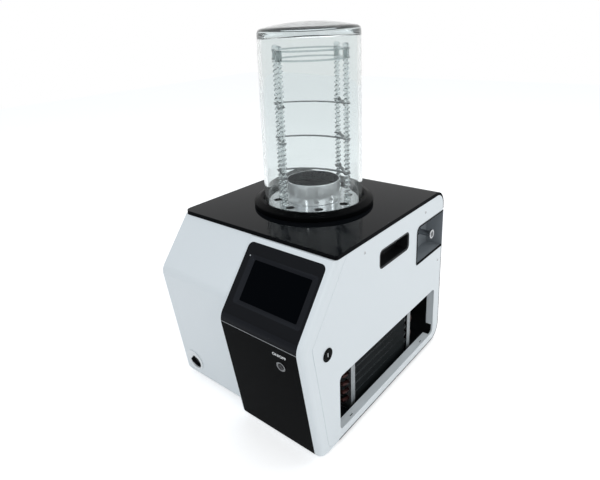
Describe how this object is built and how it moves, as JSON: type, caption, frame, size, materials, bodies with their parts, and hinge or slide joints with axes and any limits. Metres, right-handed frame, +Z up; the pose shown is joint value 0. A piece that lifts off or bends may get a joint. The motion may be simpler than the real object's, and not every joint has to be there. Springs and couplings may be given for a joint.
{
  "type": "freeze dryer",
  "caption": "Bench-top freeze dryer: cabinet with a leaning touch-screen console, a cold trap under a clear bell jar with a sample rack, a side intake window and a vacuum port.",
  "frame": {"origin": "middle of the footprint box, on the surface the feet stand on", "axes": "+Z up, +X towards the side with the intake window, the front with the console faces -Y"},
  "size_m": [0.4535, 0.597, 0.864],
  "materials": {
    "white_enamel": "satin",
    "black_enamel": "satin",
    "black_gloss_plate": "gloss",
    "console_panel": "satin",
    "screen_glass": "polished",
    "white_plastic": "satin",
    "black_plastic": "matt",
    "grey_plastic": "matt",
    "stainless_steel": "satin",
    "galvanised_steel": "matt",
    "aluminium_fins": "matt",
    "copper": "satin",
    "rubber": "matt",
    "seal_rubber": "satin",
    "clear_acrylic": "polished",
    "rack_acrylic": "polished",
    "black_foam": "matt"
  },
  "bodies": {
    "machine": {"front_shell": "white_enamel", "side_panel_right": "white_enamel", "side_panel_left": "white_enamel", "window_liner": "white_enamel", "top_cover": "black_gloss_plate", "rear_base_wrap": "black_enamel", "upper_bezel": "console_panel", "lower_panel": "console_panel", "touch_screen": "screen_glass", "status_lamp": "white_plastic", "power_button_ring": "stainless_steel", "drain_collar": "white_plastic", "drain_valve": "black_plastic", "handle_cup_right": "black_plastic", "handle_cup_left": "black_plastic", "port_recess": "grey_plastic", "vacuum_spigot": "stainless_steel", "vacuum_pipe": "rubber", "data_port": "black_plastic", "panel_screw_right_1": "stainless_steel", "panel_screw_right_2": "stainless_steel", "panel_screw_right_3": "stainless_steel", "panel_screw_left_1": "stainless_steel", "panel_screw_left_2": "stainless_steel", "panel_screw_left_3": "stainless_steel", "power_inlet": "black_plastic", "rubber_foot_1": "rubber", "rubber_foot_2": "rubber", "rubber_foot_3": "rubber", "rubber_foot_4": "rubber", "seal_ring": "seal_rubber", "bell_jar": "clear_acrylic", "trap_disc": "stainless_steel", "guide_tube": "stainless_steel", "cold_trap": "stainless_steel", "trap_jacket": "black_foam", "evaporator_coil": "copper", "rack_post_1": "rack_acrylic", "rack_post_2": "rack_acrylic", "rack_post_3": "rack_acrylic", "rack_post_4": "rack_acrylic", "rack_shelf_1": "stainless_steel", "rack_shelf_2": "stainless_steel", "rack_shelf_3": "stainless_steel", "rack_top_ring": "rack_acrylic", "condenser_plate_front": "galvanised_steel", "condenser_plate_rear": "galvanised_steel", "condenser_fins": "aluminium_fins", "condenser_tube": "copper", "fan_shroud": "black_enamel", "fan_motor": "black_enamel", "compressor": "black_enamel", "filter_drier": "copper", "discharge_line": "copper", "liquid_line": "copper", "capillary_line": "copper", "suction_line": "copper", "drain_hose": "white_plastic"},
    "power_button": {"power_button_cap": "stainless_steel"},
    "fan": {"fan_blade": "black_plastic"}
  },
  "joints": [
    {"name": "power_button_press", "type": "slide", "parent": "machine", "child": "power_button", "axis": [0, 0.9854, 0.1703], "range_m": [0, 0.002], "stiffness_N_per_m": 400, "springref_m": -0.0015},
    {"name": "fan_spin", "type": "hinge", "parent": "machine", "child": "fan", "pos_m": [0.112, 0.037, 0.09765], "axis": [1, 0, 0], "continuous": true}
  ]
}
